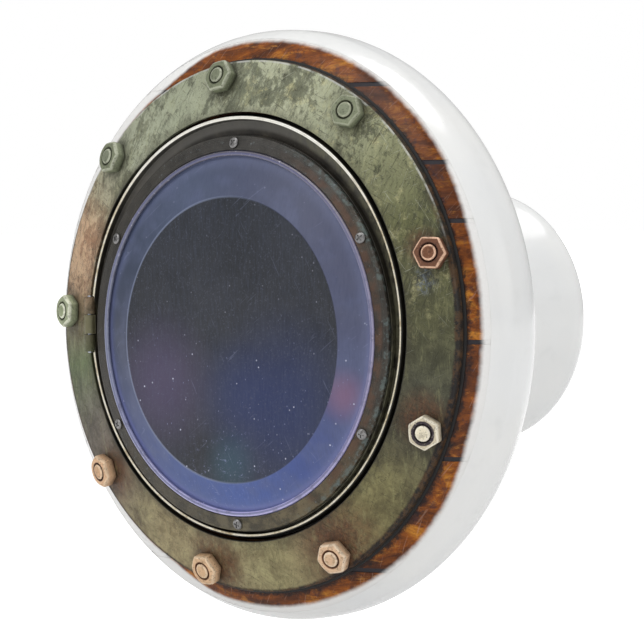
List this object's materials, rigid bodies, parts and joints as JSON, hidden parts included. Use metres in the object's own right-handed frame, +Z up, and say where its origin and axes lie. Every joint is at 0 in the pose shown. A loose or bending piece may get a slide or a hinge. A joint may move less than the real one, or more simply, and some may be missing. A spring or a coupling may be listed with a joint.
{
  "type": "furniture knob with an opening porthole",
  "caption": "White glazed ceramic furniture knob with a flared stem and, on its domed face, a small bolted bronze porthole whose glazed port swings open.",
  "frame": {"origin": "centre of the stem's foot, on the face that meets the furniture", "axes": "+Z up, the knob's axis along Y with the porthole looking along -Y, +X to the right seen from the front"},
  "size_m": [0.04, 0.0278, 0.04],
  "materials": {
    "glaze": "glossy white glaze",
    "bronze": "patinated bronze, grey-green with brown patches",
    "dark_bronze": "dark oiled bronze",
    "nut_brass": "worn brass, partly patinated",
    "steel": "bright steel",
    "plank": "varnished orange-brown hardwood",
    "rubber": "black sealant and rubber",
    "dark_plate": "matt black",
    "glass": "blue-violet tinted glass, bevelled and polished",
    "bead": "pale lavender bead"
  },
  "bodies": {
    "knob": {"ceramic_body": "glaze", "threaded_insert": "nut_brass", "main_frame": "dark_bronze", "back_plate": "dark_plate", "port_seal": "rubber", "seam_caulking": "rubber", "bedding_ring": "rubber", "flange_ring": "bronze", "hinge_pin": "steel", "catch_magnet": "steel", "plank_1": "plank", "plank_2": "plank", "plank_3_left": "plank", "plank_3_right": "plank", "plank_4_left": "plank", "plank_4_right": "plank", "plank_5_left": "plank", "plank_5_right": "plank", "plank_6": "plank", "plank_7": "plank", "stud_1": "nut_brass", "stud_2": "nut_brass", "stud_3": "nut_brass", "stud_4": "nut_brass", "stud_5": "nut_brass", "stud_6": "nut_brass", "stud_7": "nut_brass", "stud_8": "nut_brass", "stud_9": "nut_brass", "hex_nut_1": "nut_brass", "hex_nut_2": "nut_brass", "hex_nut_3": "nut_brass", "hex_nut_4": "nut_brass", "hex_nut_5": "nut_brass", "hex_nut_6": "nut_brass", "hex_nut_7": "nut_brass", "hex_nut_8": "nut_brass", "hex_nut_9": "nut_brass"},
    "port": {"port_frame": "dark_bronze", "catch_keeper": "steel", "glass_seat_seal": "rubber", "glass": "glass", "glazing_bead": "bead", "retaining_ring": "dark_bronze", "ring_screw_1": "steel", "ring_screw_2": "steel", "ring_screw_3": "steel", "ring_screw_4": "steel", "ring_screw_5": "steel", "ring_screw_6": "steel"}
  },
  "joints": [
    {"name": "port_swing", "type": "hinge", "parent": "knob", "child": "port", "pos_m": [-0.01427, -0.0266, 0], "axis": [0, 0, -1], "range_deg": [0, 105]}
  ]
}
